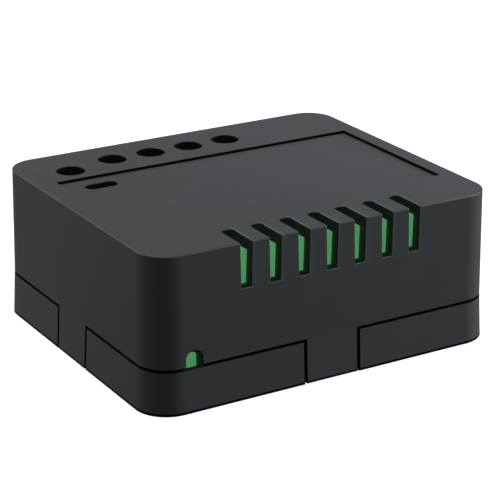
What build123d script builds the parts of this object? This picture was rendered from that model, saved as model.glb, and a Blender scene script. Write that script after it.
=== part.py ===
from build123d import *
import math
import os

# Low-voltage smart relay module in a two-piece snap-fit plastic case.
# Millimetres. Origin at the bottom centre of the case, +X along the long side,
# +Y towards the wire terminals at the back, +Z up through the top cover.

# ---------------------------------------------------------------- case
W = 43.4            # length along X, cover walls carried down to z = 0
D = 36.6            # depth along Y, the same way
H = 17.5            # height
CORNER_R = 3.6      # vertical corner radius
DRAFT = 0.917       # mould draft of the outer walls, degrees
TOP_EDGE_R = 0.17   # softened top rim
FOOT_FLARE = 0.2    # how much further out the tray stands at the bottom, each side
FOOT_CHAMFER = 0.06 # bevel under the bottom rim
CAV_X = 20.05       # half length of the inside
CAV_Y = 16.83       # half depth of the inside
CAV_R = 2.2         # inside corner radius
ROOF = 1.35         # top plate thickness
FLOOR = 1.5         # bottom plate thickness
SEAM_LO = 4.85      # top of the tray's outer wall
SEAM_HI = 5.15      # lower rim of the cover's outer wall
LIP_T = 0.70        # thickness of the cover's inner lip
LIP_LO = 3.70       # lower end of that lip
REBATE_Z = 3.60     # ledge in the tray that the lip stops above
LIP_GAP = 0.10      # side play between lip and tray wall
Z_ROOF = H - ROOF   # underside of the top plate

# vents: slots that start in the top plate and run down the front wall
VENT_N = 7
VENT_PITCH = 3.51
VENT_X = 0.11       # middle of the row
VENT_W_TOP = 1.45
VENT_W_LOW = 1.245
VENT_Z = 12.5       # square lower end on the front wall
VENT_BACK = -13.70  # rounded end on the top plate
VENT_END_R = 0.64    # corner radius of that end

RIM_R = 0.08        # softened rims of the button opening and the screwdriver holes
VENT_RIM_R = 0.11   # softened rims of the vents

# shallow bare field on the top plate
FIELD = (-19.02, 19.40, -10.58, 8.95)
FIELD_DEPTH = 0.27

# oval opening for the setting button
OVAL_X, OVAL_Y, OVAL_L, OVAL_W = -14.74, 6.27, 3.86, 1.76

# arched cable notch at the seam, front left
ARCH_X, ARCH_R, ARCH_Z = -16.69, 1.04, 5.93
ARCH_IN_R, ARCH_IN_Z = 0.90, 5.56   # the same notch in the inner half of the wall, a little lower

# snap tabs of the cover that reach down through the tray wall
TAB_W = 6.5
TAB_GAP = 0.25
TAB_T = 0.90
TAB_LO = 0.08
TAB_FRONT_X = 0.14
TAB_SIDE_Y = 0.35
TAB_BACK_X = 13.4

# ---------------------------------------------------------------- terminals
POLE_X = [-15.80, -9.79, -4.79, 0.21, 5.21]
POLE_Y = [11.80, 13.24, 13.24, 13.24, 13.24]
ACCESS_R = 1.66     # screwdriver hole above each screw
POLE_HALF = 2.47    # half width of one terminal housing
WIRE_Z = 7.05       # height of the wire axis
WIRE_R = 1.45       # wire entry radius
NOSE_Y = 18.05      # housings end just inside the outer wall face
NOSE_LO, NOSE_HI = 5.0, 10.0
BLOCK_Y = 16.45
BLOCK_HI = 15.0
CAGE_LIFT = 1.8     # travel of the clamp cage
SCREW_R = 1.25
SCREW_HEAD_R = 1.80

# ---------------------------------------------------------------- boards
PCB_LO, PCB_HI = 3.0, 4.0
PIN_LO = 2.2        # soldered ends of the leads under the board
FB_Y0, FB_Y1 = -16.50, -15.30   # upright board right behind the front wall
FB_TOP = 16.10      # just under the roof

SWITCH_TRAVEL = 0.3

P = {}


def bx(x0, x1, y0, y1, z0, z1):
    return Pos((x0 + x1) / 2, (y0 + y1) / 2, (z0 + z1) / 2) * Box(x1 - x0, y1 - y0, z1 - z0)


def cz(x, y, z0, z1, r):
    return Pos(x, y, (z0 + z1) / 2) * Cylinder(r, z1 - z0)


def cy(x, z, y0, y1, r):
    return Pos(x, (y0 + y1) / 2, z) * Rot(90, 0, 0) * Cylinder(r, y1 - y0)


def slab(hx, hy, r, z0, z1):
    return extrude(Pos(0, 0, z0) * RectangleRounded(2 * hx, 2 * hy, r), z1 - z0)


def oval(x, y, length, width, z0, z1):
    return extrude(Pos(x, y, z0) * SlotOverall(length, width), z1 - z0)


def soft_box(x0, x1, y0, y1, z0, z1, r):
    b = bx(x0, x1, y0, y1, z0, z1)
    return fillet(b.edges().filter_by(Axis.Z), r)


# ================================================================ case shell
shell = extrude(RectangleRounded(W, D, CORNER_R), H, taper=DRAFT)
shell = fillet(shell.edges().group_by(Axis.Z)[-1], TOP_EDGE_R)
# the tray's walls lean out a little more than the cover's
foot_draft = math.degrees(math.atan(math.tan(math.radians(DRAFT)) + FOOT_FLARE / SEAM_HI))
foot = extrude(RectangleRounded(W + 2 * FOOT_FLARE, D + 2 * FOOT_FLARE, CORNER_R + FOOT_FLARE), SEAM_HI, taper=foot_draft)
foot = chamfer(foot.edges().group_by(Axis.Z)[0], FOOT_CHAMFER)

cavity = slab(CAV_X, CAV_Y, CAV_R, FLOOR, Z_ROOF)
lip_outer = slab(CAV_X + LIP_T, CAV_Y + LIP_T, CAV_R + LIP_T, LIP_LO, SEAM_HI + 0.6)
rebate = slab(CAV_X + LIP_T + LIP_GAP, CAV_Y + LIP_T + LIP_GAP, CAV_R + LIP_T + LIP_GAP, REBATE_Z, SEAM_LO + 1)

# tabs: (outer strip of the shell, as a box) on each face
def tab_boxes(grow, deep, z0, z1):
    h = TAB_W / 2 + grow
    f = D / 2 + 1
    g = W / 2 + 1
    inner_y = CAV_Y + LIP_T + deep
    inner_x = CAV_X + LIP_T + deep
    return [
        bx(TAB_FRONT_X - h, TAB_FRONT_X + h, -f, -inner_y, z0, z1),
        bx(TAB_BACK_X - h, TAB_BACK_X + h, inner_y, f, z0, z1),
        bx(-g, -inner_x, TAB_SIDE_Y - h, TAB_SIDE_Y + h, z0, z1),
        bx(inner_x, g, TAB_SIDE_Y - h, TAB_SIDE_Y + h, z0, z1),
    ]


def catch_wedge(z0, z1, out):
    # small hook profile that leans inwards, thickest at its upper end
    with BuildSketch(Plane.YZ) as s:
        with BuildLine():
            Polyline((0, z0), (out, z1 - 0.25), (out, z1), (0, z1), close=True)
        make_face()
    return s.sketch


# ---------------------------------------------------------------- top cover
cover = shell & bx(-30, 30, -30, 30, SEAM_HI, H + 1)
cover = cover + (lip_outer & bx(-30, 30, -30, 30, LIP_LO, SEAM_HI + 0.5))
for lower, upper in zip(tab_boxes(0, 0, TAB_LO, SEAM_HI), tab_boxes(0, 0, SEAM_HI, SEAM_HI + 0.5)):
    cover = cover + (foot & lower) + (shell & upper)
cover = cover - slab(CAV_X, CAV_Y, CAV_R, -1, Z_ROOF)
# inward catches on the tabs
hook = extrude(catch_wedge(1.75, 2.65, 0.42), 1.9, both=True)
iy, ix = CAV_Y + LIP_T, CAV_X + LIP_T
cover = cover + Pos(TAB_FRONT_X, -iy, 0) * hook
cover = cover + Pos(TAB_BACK_X, iy, 0) * Rot(0, 0, 180) * hook
cover = cover + Pos(-ix, TAB_SIDE_Y, 0) * Rot(0, 0, -90) * hook
cover = cover + Pos(ix, TAB_SIDE_Y, 0) * Rot(0, 0, 90) * hook
# vents
with BuildSketch(Plane.XZ.offset(0)) as vs:
    with BuildLine():
        Polyline(
            (-VENT_W_LOW / 2, VENT_Z),
            (VENT_W_LOW / 2, VENT_Z),
            (VENT_W_TOP / 2 + 0.06, H + 2.4),
            (-VENT_W_TOP / 2 - 0.06, H + 2.4),
            close=True,
        )
    make_face()
wedge = extrude(vs.sketch, 30)                     # runs along -Y
plan = extrude(Pos(0, VENT_BACK - 8, 8) * RectangleRounded(VENT_W_TOP + 0.12, 16, VENT_END_R), 14)
vent = (wedge & bx(-3, 3, -30, -12, 0, 30)) & plan
for i in range(VENT_N):
    x = VENT_X + (i - (VENT_N - 1) / 2) * VENT_PITCH
    cover = cover - Pos(x, 0, 0) * vent
# bare recessed field
cover = cover - soft_box(FIELD[0], FIELD[1], FIELD[2], FIELD[3], H - FIELD_DEPTH, H + 1, 0.15)
# button opening and screwdriver holes
cover = cover - oval(OVAL_X, OVAL_Y, OVAL_L, OVAL_W, Z_ROOF - 1, H + 1)
for x, y in zip(POLE_X, POLE_Y):
    cover = cover - cz(x, y, Z_ROOF - 1, H + 1, ACCESS_R)
# arched notch through wall and lip
arch_y = -CAV_Y - LIP_T
arch = bx(ARCH_X - ARCH_R, ARCH_X + ARCH_R, -20, arch_y, 3, ARCH_Z) + cy(ARCH_X, ARCH_Z, -20, arch_y, ARCH_R)
arch = arch + bx(ARCH_X - ARCH_IN_R, ARCH_X + ARCH_IN_R, arch_y - 0.1, -CAV_Y + 0.1, 3, ARCH_IN_Z)
arch = arch + cy(ARCH_X, ARCH_IN_Z, arch_y - 0.1, -CAV_Y + 0.1, ARCH_IN_R)
cover = cover - arch
# windows in the back wall for the terminal housings, open at the lower rim
w0 = POLE_X[0] - POLE_HALF - 0.12
w1 = POLE_X[0] + POLE_HALF + 0.12
w2 = POLE_X[1] - POLE_HALF - 0.12
w3 = POLE_X[4] + POLE_HALF + 0.12
for a, b in ((w0, w1), (w2, w3)):
    cover = cover - bx(a, b, CAV_Y - 0.1, 20, 3, NOSE_HI + 0.12)
# stiffening ribs under the roof, clear of everything below
for x in (-12.0, 9.4):
    cover = cover + bx(x - 0.4, x + 0.4, -11.5, -4.0, Z_ROOF - 0.7, Z_ROOF + 0.1)


# softened rims, as moulded
def skin_depth(p):
    """Depth under the outer skin near the middle of the front and top faces."""
    return min(H - p.Z, (D / 2 - p.Z * math.tan(math.radians(DRAFT))) - abs(p.Y))


def level_edges(shape, z, x0, x1, y0, y1):
    out = []
    for e in shape.edges():
        b = e.bounding_box()
        if abs(b.min.Z - z) < 1e-3 and abs(b.max.Z - z) < 1e-3 and x0 < b.min.X and b.max.X < x1 and y0 < b.min.Y and b.max.Y < y1:
            out.append(e)
    return ShapeList(out)


cover = cover.solids()[0]
holes = [e for e in cover.edges().filter_by(GeomType.CIRCLE) if abs(e.center().Z - H) < 1e-3 and abs(e.radius - ACCESS_R) < 1e-3]
cover = fillet(ShapeList(holes), RIM_R).solids()[0]
cover = fillet(level_edges(cover, H - FIELD_DEPTH, OVAL_X - 2.2, OVAL_X + 2.2, OVAL_Y - 1.2, OVAL_Y + 1.2), RIM_R).solids()[0]
vent_rims = []
for e in cover.edges():
    b = e.bounding_box()
    if b.max.Y > VENT_BACK + 0.05 or b.min.Z < VENT_Z - 0.1 or abs(e.center().X - VENT_X) > 12:
        continue
    if max(skin_depth(e @ 0), skin_depth(e @ 0.5), skin_depth(e @ 1)) > 0.09:
        continue
    along_front = e.geom_type == GeomType.LINE and b.max.X - b.min.X > 1.6
    if along_front and abs((e @ 0.5).Z - VENT_Z) > 0.01:
        continue
    vent_rims.append(e)
cover = fillet(ShapeList(vent_rims), VENT_RIM_R).solids()[0]
print("rims", len(holes), len(vent_rims), round(cover.volume, 1))
P["top_cover"] = cover

# ---------------------------------------------------------------- base tray
tray = foot & bx(-30, 30, -30, 30, -1, SEAM_LO)
tray = tray - slab(CAV_X, CAV_Y, CAV_R, FLOOR, 9)
tray = tray - rebate
for t in tab_boxes(TAB_GAP, -0.07, -1, SEAM_LO + 1):
    tray = tray - t
# catch windows behind the tabs
cw = 2.1
tray = tray - bx(TAB_FRONT_X - cw, TAB_FRONT_X + cw, -iy - 0.3, -CAV_Y + 0.1, 1.55, 2.8)
tray = tray - bx(TAB_BACK_X - cw, TAB_BACK_X + cw, CAV_Y - 0.1, iy + 0.3, 1.55, 2.8)
tray = tray - bx(-ix - 0.3, -CAV_X + 0.1, TAB_SIDE_Y - cw, TAB_SIDE_Y + cw, 1.55, 2.8)
tray = tray - bx(CAV_X - 0.1, ix + 0.3, TAB_SIDE_Y - cw, TAB_SIDE_Y + cw, 1.55, 2.8)
# board posts and locating pins
PINS = [(-17.8, -12.6), (17.8, -12.6), (17.8, 14.0)]
for x, y in PINS + [(-18.2, 0.3)]:
    tray = tray + cz(x, y, FLOOR - 0.2, PCB_LO, 1.6)
for x, y in PINS:
    pin = cz(x, y, PCB_LO - 0.2, PCB_HI + 0.7, 0.95)
    tray = tray + chamfer(pin.edges().group_by(Axis.Z)[-1], 0.25)
# rails that hold the foot of the upright board
for x in (-11.0, 12.5):
    tray = tray + bx(x - 0.9, x + 0.9, FB_Y1 + 0.05, FB_Y1 + 0.95, FLOOR - 0.2, PCB_LO - 0.1)
P["base_tray"] = tray

# ================================================================ terminals
leads = []          # everything that passes through the main board
for n, (x, y) in enumerate(zip(POLE_X, POLE_Y), 1):
    bar = bx(x - 0.9, x + 0.9, y - 2.75, y + 1.55, 8.5, 9.3)
    bar = bar + bx(x - 0.9, x + 0.9, y - 2.75, y - 2.05, PCB_HI, 9.3)
    bar = bar + bx(x - 0.5, x + 0.5, y - 2.75, y - 2.05, PIN_LO, PCB_HI + 0.1)
    # fine clamping teeth across the underside of the bar
    for k in range(3):
        bar = bar - bx(x - 1, x + 1, y - 0.95 + k * 0.9, y - 0.75 + k * 0.9, 8.4, 8.62)
    outer = bx(x - POLE_HALF, x + POLE_HALF, y - 3.2, BLOCK_Y, PCB_HI, BLOCK_HI)
    outer = outer + bx(x - POLE_HALF, x + POLE_HALF, BLOCK_Y - 0.1, NOSE_Y, NOSE_LO, NOSE_HI)
    top_edges = outer.edges().group_by(Axis.Z)[-1]
    outer = chamfer(top_edges, 0.3)
    room = bx(x - 1.9, x + 1.9, y - 1.75, y + 1.75, 4.8, 12.95)
    house = outer - room
    house = house - cz(x, y, 12.5, 13.5, SCREW_R + 0.10)
    house = house - cz(x, y, 13.45, 16, SCREW_HEAD_R + 0.15)
    house = house - cy(x, WIRE_Z, y + 1.5, 20, WIRE_R)
    mouth = Pos(x, NOSE_Y - 0.3, WIRE_Z) * Rot(-90, 0, 0) * Cone(WIRE_R, WIRE_R + 0.42, 0.6)
    house = house - mouth
    house = house - bar
    P[f"terminal_housing_{n}"] = house
    P[f"terminal_busbar_{n}"] = bar
    leads.append(bar)

    # clamp cage: a square ring along Y with a screw hole in its thick top
    cage = bx(x - 1.75, x + 1.75, y - 1.6, y + 1.6, 5.0, 11.0)
    cage = fillet(cage.edges().filter_by(Axis.Y), 0.3)
    cage = cage - bx(x - 1.3, x + 1.3, y - 2, y + 2, 5.6, 10.0)
    cage = cage - cz(x, y, 9.5, 11.5, SCREW_R + 0.05)
    for k in range(3):
        cage = cage - bx(x - 1.0, x + 1.0, y - 1.0 + k * 0.9, y - 0.8 + k * 0.9, 5.5, 5.7)
    P[f"terminal_cage_{n}"] = cage

    # captive screw with a combined slot and cross recess
    head = cz(x, y, 13.5, 14.8, SCREW_HEAD_R)
    head = fillet(head.edges().group_by(Axis.Z)[-1], 0.3)
    screw = head + cz(x, y, 9.6, 13.6, SCREW_R)
    screw = chamfer(screw.edges().group_by(Axis.Z)[0], 0.25)
    screw = screw - bx(x - 2.2, x + 2.2, y - 0.27, y + 0.27, 14.15, 15)
    screw = screw - bx(x - 0.27, x + 0.27, y - 1.05, y + 1.05, 13.95, 15)
    screw = screw - bx(x - 1.05, x + 1.05, y - 0.27, y + 0.27, 13.95, 15)
    P[f"terminal_screw_{n}"] = screw

# ================================================================ relay
RX0, RX1, RY0, RY1 = -10.4, 8.6, -1.0, 9.0
case = soft_box(RX0, RX1, RY0, RY1, PCB_HI + 0.15, 14.7, 0.6)
case = fillet(case.edges().group_by(Axis.Z)[-1], 0.3)
case = case - bx(RX0 + 0.6, RX1 - 0.6, RY0 + 0.6, RY1 - 0.6, 3, 14.1)
P["relay_case"] = case

CX, CY = -4.6, 4.0
yoke = bx(-9.4, -1.9, 1.2, 6.8, 5.4, 6.2)
yoke = yoke + bx(-9.4, -8.6, 1.2, 6.8, 5.4, 11.80)
yoke = yoke + bx(-9.4, -8.6, 3.3, 4.7, PIN_LO, 5.5)
yoke = yoke - cz(CX, CY, 5, 7, 1.2)
P["relay_yoke"] = yoke
core = cz(CX, CY, 5.4, 6.25, 1.2) + cz(CX, CY, 6.2, 11.0, 1.5) + cz(CX, CY, 10.9, 11.4, 2.6)
P["relay_core"] = core
bob = bx(CX - 3.7, CX + 3.7, CY - 4.0, CY + 4.0, 6.2, 6.7) + bx(CX - 3.7, CX + 3.7, CY - 4.0, CY + 4.0, 10.4, 10.9)
bob = bob + cz(CX, CY, 6.2, 10.9, 2.1)
bob = bob - cz(CX, CY, 6, 11.0, 1.5)
P["relay_bobbin"] = bob
P["relay_winding"] = cz(CX, CY, 6.7, 10.4, 3.55) - cz(CX, CY, 6, 11, 2.1)
coil_pins = [bx(-1.7, -1.2, py - 0.25, py + 0.25, PIN_LO, 6.2) for py in (0.5, 7.5)]
P["relay_coil_pins"] = coil_pins
# armature: rocks on the upper edge of the yoke
arm = bx(-9.5, -1.4, 1.4, 6.6, 11.85, 12.65)
arm = fillet(arm.edges().filter_by(Axis.Z), 0.4)
P["relay_armature"] = arm
leaf = bx(-7.2, 6.1, 2.7, 5.3, 12.65, 12.85)
leaf = fillet(leaf.edges().filter_by(Axis.Z), 0.5)
leaf = leaf - cz(5.1, 4.0, 12, 13, 0.55)
P["relay_contact_spring"] = leaf
riv = cz(5.1, 4.0, 12.25, 12.65, 0.9) + cz(5.1, 4.0, 12.6, 12.9, 0.55) + cz(5.1, 4.0, 12.85, 13.2, 0.9)
P["relay_moving_contact"] = riv
no = bx(4.0, 7.9, 0.8, 5.3, 10.7, 11.0) + bx(7.6, 7.9, 0.8, 2.4, PIN_LO, 11.0) + cz(5.1, 4.0, 10.9, 11.42, 0.9)
nc = bx(4.0, 7.9, 2.7, 7.2, 13.6, 13.9) + bx(7.6, 7.9, 5.6, 7.2, PIN_LO, 13.9) + cz(5.1, 4.0, 13.26, 13.7, 0.9)
P["relay_open_contact"] = no
P["relay_closed_contact"] = nc
foot = bx(RX0 + 0.65, RX1 - 0.65, RY0 + 0.65, RY1 - 0.65, PCB_HI, 5.4)
for q in [yoke, no, nc] + coil_pins:
    foot = foot - q
P["relay_base"] = foot
leads += [yoke, no, nc] + coil_pins

# ================================================================ setting switch and button
SX, SY = OVAL_X, 5.50
sw = soft_box(SX - 3, SX + 3, SY - 3, SY + 3, PCB_HI, 7.4, 0.4)
sw = sw - cz(SX, SY, 4.8, 6.9, 2.4) - cz(SX, SY, 6.5, 8, 1.78)
P["switch_housing"] = sw
plate = soft_box(SX - 2.9, SX + 2.9, SY - 2.9, SY + 2.9, 7.4, 7.6, 0.4) - cz(SX, SY, 7, 8, 1.8)
P["switch_plate"] = plate
dome_out = Pos(SX, SY, 5.45 - 4.25) * Sphere(4.25)
dome_in = Pos(SX, SY, 5.45 - 4.25) * Sphere(4.15)
dome = (dome_out - dome_in) & bx(SX - 3, SX + 3, SY - 3, SY + 3, 4.95, 6)
dome = dome + (cz(SX, SY, 4.8, 4.97, 2.2) - cz(SX, SY, 4.7, 5.1, 1.9))
P["switch_dome"] = dome
plunger = cz(SX, SY, 5.85, 6.4, 0.8) + cz(SX, SY, 6.35, 6.85, 2.25) + cz(SX, SY, 6.8, 10.0, 1.70)
P["switch_plunger"] = plunger
cap = cz(SX, SY, 8.4, 12.0, 2.4)
cap = fillet(cap.edges().group_by(Axis.Z)[-1], 0.4)
cap = cap - cz(SX, SY, 8, 10.0, 1.70)
cap = cap + oval(OVAL_X, OVAL_Y, OVAL_L - 0.36, OVAL_W - 0.34, 11.8, 16.35)
cap = cap + oval(OVAL_X, OVAL_Y, OVAL_L + 0.9, OVAL_W + 0.9, 15.2, 15.7)
P["button_cap"] = cap

# ================================================================ upright front board
fb = bx(-18.3, 18.3, FB_Y0, FB_Y1, 1.7, FB_TOP)
fb = fillet(fb.edges().filter_by(Axis.Y), 0.6)
hp = []
HX = [5.0 + 2.0 * k for k in range(6)]
for x in HX:
    pin = bx(x - 0.25, x + 0.25, FB_Y0, -13.45, 4.85, 5.35) + bx(x - 0.25, x + 0.25, -13.95, -13.45, PIN_LO, 5.35)
    hp.append(pin)
strip = bx(HX[0] - 1, HX[-1] + 1, -15.2, -13.2, PCB_HI, 6.0)
strip = chamfer(strip.edges().filter_by(Axis.Z), 0.3)
for q in hp:
    fb = fb - q
    strip = strip - q
P["front_board"] = fb
P["header_pins"] = hp
P["header_strip"] = strip
leads += hp

# radio module on the back of the upright board
rb = bx(-12.6, 3.4, FB_Y1, FB_Y1 + 0.8, 5.6, 15.4)
# half-round castellations along its lower edge
for k in range(7):
    rb = rb - cy(-11.0 + k * 2.0, 5.6, FB_Y1 - 0.1, FB_Y1 + 1, 0.35)
P["radio_board"] = rb
can = bx(-11.8, -1.2, FB_Y1 + 0.8, FB_Y1 + 2.6, 6.4, 14.9)
can = fillet(can.edges().group_by(Axis.Y)[-1], 0.3)
can = can - bx(-11.6, -1.4, FB_Y1 + 0.7, FB_Y1 + 2.4, 6.6, 14.7)
P["radio_shield"] = can
# folded copper aerial
ant = []
ay0, ay1 = FB_Y1 + 0.8, FB_Y1 + 0.88
track = bx(-0.4, 0.0, ay0, ay1, 6.6, 14.8)
for k in range(4):
    z = 7.2 + k * 2.0
    track = track + bx(-0.1, 2.8, ay0, ay1, z, z + 0.4) + bx(2.4, 2.8, ay0, ay1, z, z + 1.4) + bx(0.3, 2.8, ay0, ay1, z + 1.0, z + 1.4)
P["radio_antenna"] = track

# ================================================================ parts on the main board
# smoothing capacitor
KX, KY, KR = 12.6, 11.4, 3.15
can2 = cz(KX, KY, PCB_HI + 0.9, 15.0, KR)
can2 = fillet(can2.edges(), 0.35)
groove = cz(KX, KY, 5.7, 6.2, KR + 0.2) - cz(KX, KY, 5.6, 6.3, KR - 0.25)
can2 = can2 - groove
can2 = can2 - cz(KX, KY, PCB_HI, PCB_HI + 1.4, KR - 0.45)
can2 = can2 - bx(KX - 2.2, KX + 2.2, KY - 0.06, KY + 0.06, 14.88, 15.1) - bx(KX - 0.06, KX + 0.06, KY - 2.2, KY + 2.2, 14.88, 15.1)
P["capacitor_can"] = can2
cap_leads = [cz(KX + s * 1.25, KY, PIN_LO, PCB_HI + 1.2, 0.25) for s in (-1, 1)]
bung = cz(KX, KY, PCB_HI + 0.3, PCB_HI + 1.4, KR - 0.45)
for q in cap_leads:
    bung = bung - q
P["capacitor_bung"] = bung
P["capacitor_leads"] = cap_leads
leads += cap_leads

# shielded power inductor: square ferrite with a round drum in its top
ind = soft_box(11.6, 17.4, 0.4, 6.2, PCB_HI, 7.0, 1.0)
ind = ind - (cz(14.5, 3.3, 6.5, 7.2, 2.45) - cz(14.5, 3.3, 6.4, 7.3, 2.15))
P["power_inductor"] = ind


def small_ic(x, y, half_l, half_w, height, n, pitch, reach, along_x=True):
    """Moulded body with bent flat leads along two sides."""
    b = bx(-half_l, half_l, -half_w, half_w, PCB_HI + 0.15, PCB_HI + height)
    b = chamfer(b.edges().group_by(Axis.Z)[-1], 0.2)
    for s in (-1, 1):
        for k in range(n):
            px = (k - (n - 1) / 2) * pitch
            y0, y1 = sorted((s * (half_w - 0.2), s * (half_w + reach)))
            e0, e1 = sorted((s * (half_w + reach * 0.45), s * (half_w + reach)))
            m0, m1 = sorted((s * (half_w - 0.2), s * (half_w + reach * 0.6)))
            b = b + bx(px - 0.21, px + 0.21, m0, m1, PCB_HI + height * 0.5, PCB_HI + height * 0.5 + 0.2)
            u0, u1 = sorted((s * (half_w + reach * 0.4), s * (half_w + reach * 0.6)))
            b = b + bx(px - 0.21, px + 0.21, u0, u1, PCB_HI, PCB_HI + height * 0.5 + 0.2)
            b = b + bx(px - 0.21, px + 0.21, e0, e1, PCB_HI, PCB_HI + 0.2)
    return Pos(x, y, 0) * (b if along_x else Rot(0, 0, 90) * b)


P["regulator_ic"] = small_ic(14.4, -4.4, 2.45, 1.95, 1.6, 4, 1.27, 1.05) - cz(12.7, -5.6, PCB_HI + 1.5, PCB_HI + 2, 0.25)
P["optocoupler"] = small_ic(-15.0, -4.4, 2.2, 3.1, 3.4, 2, 2.54, 1.2) - cz(-16.6, -6.6, PCB_HI + 3.3, PCB_HI + 4, 0.35)
P["driver_transistor"] = small_ic(-9.6, -4.2, 1.45, 0.7, 1.0, 2, 1.6, 0.6)

dio = []
for x, y in ((-4.6, -4.6), (1.2, -4.6), (7.0, -4.6)):
    d = bx(x - 2.1, x + 2.1, y - 1.3, y + 1.3, PCB_HI + 0.1, PCB_HI + 2.2)
    d = chamfer(d.edges().group_by(Axis.Z)[-1], 0.25)
    for s in (-1, 1):
        a, b = sorted((x + s * 2.0, x + s * 2.55))
        c, e = sorted((x + s * 1.4, x + s * 2.55))
        d = d + bx(a, b, y - 0.7, y + 0.7, PCB_HI, PCB_HI + 1.2) + bx(c, e, y - 0.7, y + 0.7, PCB_HI, PCB_HI + 0.2)
    dio.append(d)
P["protection_diodes"] = dio

# resettable fuse: upright coated disc on two wires
fuse_wires = [cz(x, -9.2, PIN_LO, 5.4, 0.3) for x in (-14.6, -9.6)]
fuse = cy(-12.1, 8.6, -10.2, -8.2, 3.4)
fuse = fillet(fuse.edges(), 0.7)
for q in fuse_wires:
    fuse = fuse - q
fw = [q + bx(q.center().X - 0.3, q.center().X + 0.3, -9.5, -8.9, 5.2, 6.2) for q in fuse_wires]
fw = [q - fuse for q in fw]
P["resettable_fuse"] = fuse
P["fuse_wires"] = fw
leads += fw

rs, cs = [], []
for x, y in ((-6.5, -8.0), (-6.5, -9.8), (-3.2, -8.0), (-3.2, -9.8), (9.9, -8.6), (12.4, -8.6), (-18.6, -8.2), (-9.0, -6.9)):
    rs.append(bx(x - 0.8, x + 0.8, y - 0.4, y + 0.4, PCB_HI, PCB_HI + 0.45))
for x, y in ((0.0, -8.0), (0.0, -9.8), (2.6, -8.0), (2.6, -9.8), (9.9, -10.4), (12.4, -10.4), (10.2, 0.0)):
    cs.append(bx(x - 0.8, x + 0.8, y - 0.45, y + 0.45, PCB_HI, PCB_HI + 0.8))
P["chip_resistors"] = rs
P["chip_capacitors"] = cs
led = bx(-18.9, -17.3, -1.9, -1.1, PCB_HI, PCB_HI + 0.35) + soft_box(-18.6, -17.6, -1.9, -1.1, PCB_HI + 0.3, PCB_HI + 0.75, 0.2)
P["status_led"] = led

# ================================================================ main board
pcb = bx(-19.7, 19.7, FB_Y1 + 0.05, 16.35, PCB_LO, PCB_HI)
pcb = fillet(pcb.edges().filter_by(Axis.Z), 2.0)
for q in leads:
    pcb = pcb - q
for x, y in PINS:
    pcb = pcb - cz(x, y, 2, 5, 1.05)
P["main_board"] = pcb

os.makedirs("parts", exist_ok=True)
for name, shape in P.items():
    if isinstance(shape, list):
        shape = Compound(children=[s if isinstance(s, Solid) else s.solids()[0] for s in shape])
    export_step(shape, f"parts/{name}.step")
print(len(P), "nodes written")
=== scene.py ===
import math
import random

import bmesh
import bpy
from mathutils import Matrix, Vector


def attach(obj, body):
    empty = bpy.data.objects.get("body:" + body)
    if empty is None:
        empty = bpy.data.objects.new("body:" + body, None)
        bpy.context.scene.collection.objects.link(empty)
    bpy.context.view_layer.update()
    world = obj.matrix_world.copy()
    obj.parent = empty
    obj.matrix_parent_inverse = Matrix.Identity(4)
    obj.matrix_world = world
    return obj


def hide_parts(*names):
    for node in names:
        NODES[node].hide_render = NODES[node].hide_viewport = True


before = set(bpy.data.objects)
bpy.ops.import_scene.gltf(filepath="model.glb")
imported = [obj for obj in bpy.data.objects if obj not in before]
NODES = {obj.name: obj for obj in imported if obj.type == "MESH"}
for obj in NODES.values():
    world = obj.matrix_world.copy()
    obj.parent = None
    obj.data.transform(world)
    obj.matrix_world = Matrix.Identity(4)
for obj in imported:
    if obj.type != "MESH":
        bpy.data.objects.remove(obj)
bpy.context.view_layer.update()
random.seed(7)

# ------------------------------------------------------------------ driving sizes, millimetres
W, D, H = 43.4, 36.6, 17.5
CORNER_R, TAN_DRAFT = 3.6, math.tan(math.radians(0.917))
CAV_X, CAV_Y = 20.05, 16.83
SEAM_LO, SEAM_HI, FOOT_FLARE = 4.85, 5.15, 0.2
TAB_FRONT_X, TAB_BACK_X, TAB_SIDE_Y = 0.14, 13.4, 0.35
FIELD = (-19.02, 19.40, -10.58, 8.95)
FIELD_Z = 17.23
POLE_X = [-15.80, -9.79, -4.79, 0.21, 5.21]
POLE_Y = [11.80, 13.24, 13.24, 13.24, 13.24]
PCB_LO, PCB_HI = 3.0, 4.0
FB_Y0, FB_Y1 = -16.50, -15.30
PIN_LO = 2.2
MM = 0.001


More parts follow.
